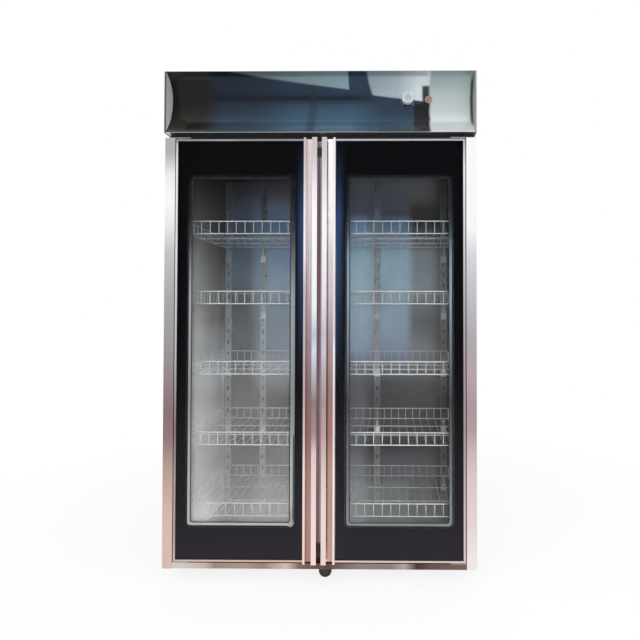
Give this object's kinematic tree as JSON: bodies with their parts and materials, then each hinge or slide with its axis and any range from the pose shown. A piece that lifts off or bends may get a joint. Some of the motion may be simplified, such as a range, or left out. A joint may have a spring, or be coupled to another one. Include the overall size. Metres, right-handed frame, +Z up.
{
  "type": "dish sterilizer cabinet",
  "caption": "Tall stainless dish sterilizer cabinet on casters: glazed double doors with full-height pull handles, wire baskets, concave mirror header with timer knob and lamp.",
  "frame": {"origin": "on the floor under the middle of the cabinet's bounding box", "axes": "+Z up, +X to the right of a person facing the doors, doors face -Y"},
  "size_m": [1.2, 0.6, 1.965],
  "materials": {
    "brushed_skin": "brushed",
    "plain_skin": "satin",
    "polished_trim": "polished",
    "frame_steel": "satin",
    "catch_black": "matte",
    "liner_steel": "satin",
    "mineral_wool": "blanket",
    "dark_plinth": "satin",
    "mirror_fascia": "mirror",
    "unit_white": "gloss",
    "knob_chrome": "satin",
    "lamp_red": "gloss",
    "quartz": "satin",
    "zinc_plate": "zinc plated",
    "wire_chrome": "bright",
    "wheel_black": "matte",
    "door_trim": "satin",
    "door_glass": "clear",
    "spacer_alu": "satin",
    "gasket_grey": "matte",
    "handle_alu": "satin",
    "caster_black": "satin"
  },
  "bodies": {
    "cabinet": {"side_panel_left": "brushed_skin", "side_panel_right": "brushed_skin", "back_panel": "plain_skin", "roof_panel": "plain_skin", "base_pan": "plain_skin", "sill_rail": "polished_trim", "face_frame": "frame_steel", "magnet_catches": "catch_black", "liner": "liner_steel", "insulation": "mineral_wool", "header_plinth": "dark_plinth", "header_soffit": "plain_skin", "header_cheek_left": "brushed_skin", "header_cheek_right": "brushed_skin", "header_cover": "plain_skin", "header_fascia": "mirror_fascia", "timer_unit": "unit_white", "lamp_bezel": "knob_chrome", "lamp_lens": "lamp_red", "control_box": "plain_skin", "ozone_generator": "unit_white", "heater_tubes": "quartz", "cable_gland": "catch_black", "hinge_plates": "zinc_plate", "shelf_uprights": "wire_chrome", "shelf_clips": "wire_chrome", "caster_plates": "caster_black", "basket_left_1": "wire_chrome", "basket_left_2": "wire_chrome", "basket_left_3": "wire_chrome", "basket_left_4": "wire_chrome", "basket_left_5": "wire_chrome", "basket_right_1": "wire_chrome", "basket_right_2": "wire_chrome", "basket_right_3": "wire_chrome", "basket_right_4": "wire_chrome", "basket_right_5": "wire_chrome"},
    "door_left": {"door_frame_left": "door_trim", "door_outer_glass_left": "door_glass", "door_spacer_left": "spacer_alu", "door_inner_glass_left": "door_glass", "door_gasket_left": "gasket_grey", "door_handle_left": "handle_alu"},
    "door_right": {"door_frame_right": "door_trim", "door_outer_glass_right": "door_glass", "door_spacer_right": "spacer_alu", "door_inner_glass_right": "door_glass", "door_gasket_right": "gasket_grey", "door_handle_right": "handle_alu"},
    "timer_knob": {"timer_knob": "knob_chrome"},
    "caster_fork_front_left": {"caster_fork_front_left": "caster_black"},
    "caster_wheel_front_left": {"caster_wheel_front_left": "wheel_black"},
    "caster_fork_front_right": {"caster_fork_front_right": "caster_black"},
    "caster_wheel_front_right": {"caster_wheel_front_right": "wheel_black"},
    "caster_fork_rear_left": {"caster_fork_rear_left": "caster_black"},
    "caster_wheel_rear_left": {"caster_wheel_rear_left": "wheel_black"},
    "caster_fork_rear_right": {"caster_fork_rear_right": "caster_black"},
    "caster_wheel_rear_right": {"caster_wheel_rear_right": "wheel_black"},
    "caster_fork_front_middle": {"caster_fork_front_middle": "caster_black"},
    "caster_wheel_front_middle": {"caster_wheel_front_middle": "wheel_black"}
  },
  "joints": [
    {"name": "door_hinge_left", "type": "hinge", "parent": "cabinet", "child": "door_left", "pos_m": [-0.5455, -0.272, 0.9], "axis": [0, 0, -1], "range_deg": [0, 105]},
    {"name": "door_hinge_right", "type": "hinge", "parent": "cabinet", "child": "door_right", "pos_m": [0.5455, -0.272, 0.9], "axis": [0, 0, 1], "range_deg": [0, 105]},
    {"name": "timer_turn", "type": "hinge", "parent": "cabinet", "child": "timer_knob", "pos_m": [0.337, -0.2365, 1.877], "axis": [0, 1, 0], "range_deg": [0, 300]},
    {"name": "caster_swivel_front_left", "type": "hinge", "parent": "cabinet", "child": "caster_fork_front_left", "pos_m": [-0.5, -0.145, 0.055], "axis": [0, 0, 1], "continuous": true},
    {"name": "caster_roll_front_left", "type": "hinge", "parent": "caster_fork_front_left", "child": "caster_wheel_front_left", "pos_m": [-0.5, -0.13, 0.025], "axis": [1, 0, 0], "continuous": true},
    {"name": "caster_swivel_front_right", "type": "hinge", "parent": "cabinet", "child": "caster_fork_front_right", "pos_m": [0.5, -0.145, 0.055], "axis": [0, 0, 1], "continuous": true},
    {"name": "caster_roll_front_right", "type": "hinge", "parent": "caster_fork_front_right", "child": "caster_wheel_front_right", "pos_m": [0.5, -0.13, 0.025], "axis": [1, 0, 0], "continuous": true},
    {"name": "caster_swivel_rear_left", "type": "hinge", "parent": "cabinet", "child": "caster_fork_rear_left", "pos_m": [-0.5, 0.215, 0.055], "axis": [0, 0, 1], "continuous": true},
    {"name": "caster_roll_rear_left", "type": "hinge", "parent": "caster_fork_rear_left", "child": "caster_wheel_rear_left", "pos_m": [-0.5, 0.23, 0.025], "axis": [1, 0, 0], "continuous": true},
    {"name": "caster_swivel_rear_right", "type": "hinge", "parent": "cabinet", "child": "caster_fork_rear_right", "pos_m": [0.5, 0.215, 0.055], "axis": [0, 0, 1], "continuous": true},
    {"name": "caster_roll_rear_right", "type": "hinge", "parent": "caster_fork_rear_right", "child": "caster_wheel_rear_right", "pos_m": [0.5, 0.23, 0.025], "axis": [1, 0, 0], "continuous": true},
    {"name": "caster_swivel_front_middle", "type": "hinge", "parent": "cabinet", "child": "caster_fork_front_middle", "pos_m": [0, -0.208, 0.055], "axis": [0, 0, 1], "continuous": true},
    {"name": "caster_roll_front_middle", "type": "hinge", "parent": "caster_fork_front_middle", "child": "caster_wheel_front_middle", "pos_m": [0.015, -0.208, 0.025], "axis": [0, 1, 0], "continuous": true}
  ]
}
